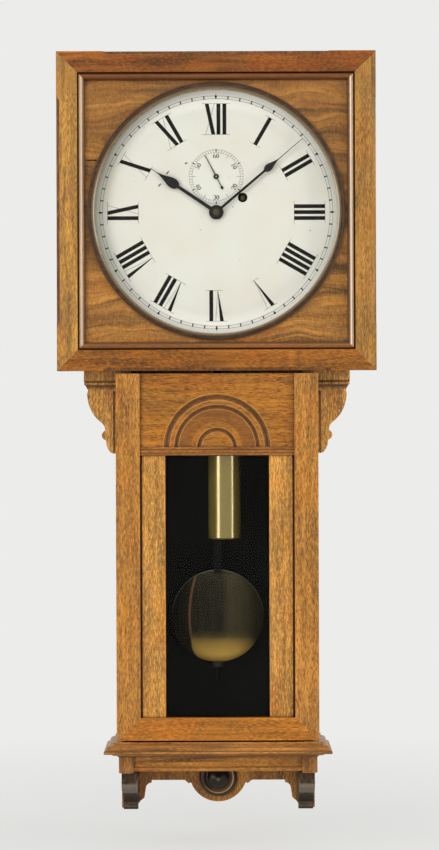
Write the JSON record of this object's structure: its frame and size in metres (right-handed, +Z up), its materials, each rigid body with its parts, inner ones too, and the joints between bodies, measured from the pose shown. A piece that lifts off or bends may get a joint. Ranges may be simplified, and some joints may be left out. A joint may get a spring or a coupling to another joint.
{
  "type": "wall clock",
  "caption": "Weight-driven oak wall clock with a square dial door, a glazed throat door, a pendulum and a small seconds dial.",
  "frame": {"origin": "centre of the hanger hole, on the wall plane at the back of the clock", "axes": "+Z up along the case, +Y towards the wall, the dial faces -Y"},
  "size_m": [0.46, 0.138, 1.106],
  "materials": {
    "oak": "satin golden oak",
    "oak_panel": "satin quartersawn oak",
    "dark_wood": "satin dark stained wood",
    "dial_paint": "matt off-white paint",
    "brass": "aged satin",
    "dark_brass": "dull, dark patina",
    "steel": "satin",
    "blued_steel": "blued, nearly black",
    "iron": "japanned black",
    "glass": "clear",
    "cable": "stranded"
  },
  "bodies": {
    "case": {"box_sides": "oak", "box_boards": "oak", "case_sides": "oak", "base_board": "oak", "frieze_rails": "oak", "frieze_blocks": "oak", "upper_brackets": "oak", "backboard": "oak_panel", "back_wings": "oak_panel", "dial_battens": "oak_panel", "lower_corbels": "dark_wood", "apron_roundel": "dark_wood", "dial": "dial_paint", "round_head_screws": "steel", "hanger_plate": "steel", "cable_hook": "steel", "movement_seat": "iron", "movement_plates": "brass", "plate_pillars": "brass", "suspension_cock": "brass", "case_hinge_leaves": "brass", "hinge_pins": "brass", "catch_strikes": "brass"},
    "dial_door": {"dial_frame": "oak", "dial_panel": "oak_panel", "dial_ring": "dark_wood", "sight_ring": "brass", "dial_door_hinges": "brass", "dial_door_catch": "brass", "dial_glass": "glass"},
    "lower_door": {"door_stiles": "oak", "door_bottom_rail": "oak", "header_panel": "oak", "header_rail": "oak", "sight_stiles": "oak", "glass_beads": "oak", "lower_door_hinges": "brass", "lower_door_catch": "brass", "door_glass": "glass"},
    "minute": {"centre_arbor": "brass", "cannon_pinion": "brass", "minute_hand": "blued_steel", "hand_nut": "steel"},
    "hour": {"hour_wheel": "brass", "hour_hand": "blued_steel"},
    "motion_wheel": {"minute_wheel": "brass"},
    "third": {"third_wheel": "brass"},
    "escape": {"escape_wheel": "brass", "seconds_hand": "blued_steel"},
    "great": {"great_wheel": "brass"},
    "drum": {"winding_drum": "brass"},
    "verge": {"verge_crutch": "steel"},
    "pendulum": {"suspension_spring": "steel", "pendulum_rod": "oak_panel", "pendulum_bob": "dark_brass", "rating_nut": "brass"},
    "weight": {"weight_body": "brass", "weight_stirrup": "steel", "weight_cable": "cable"},
    "pulley": {"weight_pulley": "brass"}
  },
  "joints": [
    {"name": "dial_door_hinge", "type": "hinge", "parent": "case", "child": "dial_door", "pos_m": [0.226, -0.1044, -0.195], "axis": [0, 0, 1], "range_deg": [0, 110]},
    {"name": "lower_door_hinge", "type": "hinge", "parent": "case", "child": "lower_door", "pos_m": [0.142, -0.1004, -0.69], "axis": [0, 0, 1], "range_deg": [0, 100]},
    {"name": "minute_spin", "type": "hinge", "parent": "case", "child": "minute", "pos_m": [0, -0.064, -0.195], "axis": [0, 1, 0], "continuous": true},
    {"name": "hour_spin", "type": "hinge", "parent": "case", "child": "hour", "pos_m": [0, -0.095, -0.195], "axis": [0, 1, 0], "continuous": true},
    {"name": "motion_wheel_spin", "type": "hinge", "parent": "case", "child": "motion_wheel", "pos_m": [0, -0.09, -0.213], "axis": [0, 1, 0], "continuous": true},
    {"name": "third_spin", "type": "hinge", "parent": "case", "child": "third", "pos_m": [-0.01445, -0.064, -0.16803], "axis": [0, 1, 0], "continuous": true},
    {"name": "escape_spin", "type": "hinge", "parent": "case", "child": "escape", "pos_m": [0, -0.064, -0.143], "axis": [0, 1, 0], "continuous": true},
    {"name": "great_spin", "type": "hinge", "parent": "case", "child": "great", "pos_m": [0.03833, -0.057, -0.1734], "axis": [0, 1, 0], "continuous": true},
    {"name": "weight_slide", "type": "slide", "parent": "case", "child": "weight", "axis": [0, 0, 1], "range_m": [-0.235, 0.17], "deforming": ["weight_cable"]},
    {"name": "drum_spin", "type": "hinge", "parent": "case", "child": "drum", "pos_m": [0.03833, -0.071, -0.1734], "axis": [0, 1, 0], "continuous": true},
    {"name": "pulley_spin", "type": "hinge", "parent": "weight", "child": "pulley", "pos_m": [0.01048, -0.071, -0.465], "axis": [0, 1, 0], "continuous": true},
    {"name": "pendulum_swing", "type": "hinge", "parent": "case", "child": "pendulum", "pos_m": [0, -0.027, -0.107], "axis": [0, 1, 0], "range_deg": [-3, 3], "deforming": ["suspension_spring"]},
    {"name": "verge_swing", "type": "hinge", "parent": "case", "child": "verge", "pos_m": [0, -0.06, -0.107], "axis": [0, 1, 0], "range_deg": [-3, 3]}
  ],
  "couplings": [
    {"joint": "hour_spin", "follows": "minute_spin", "ratio": 0.083333},
    {"joint": "motion_wheel_spin", "follows": "minute_spin", "ratio": -0.33333},
    {"joint": "third_spin", "follows": "minute_spin", "ratio": -8},
    {"joint": "escape_spin", "follows": "minute_spin", "ratio": 60},
    {"joint": "great_spin", "follows": "minute_spin", "ratio": -0.083333},
    {"joint": "drum_spin", "follows": "weight_slide", "rad_per_m": 171.67},
    {"joint": "pulley_spin", "follows": "weight_slide", "rad_per_m": -61.728},
    {"joint": "verge_swing", "follows": "pendulum_swing", "ratio": 1}
  ]
}
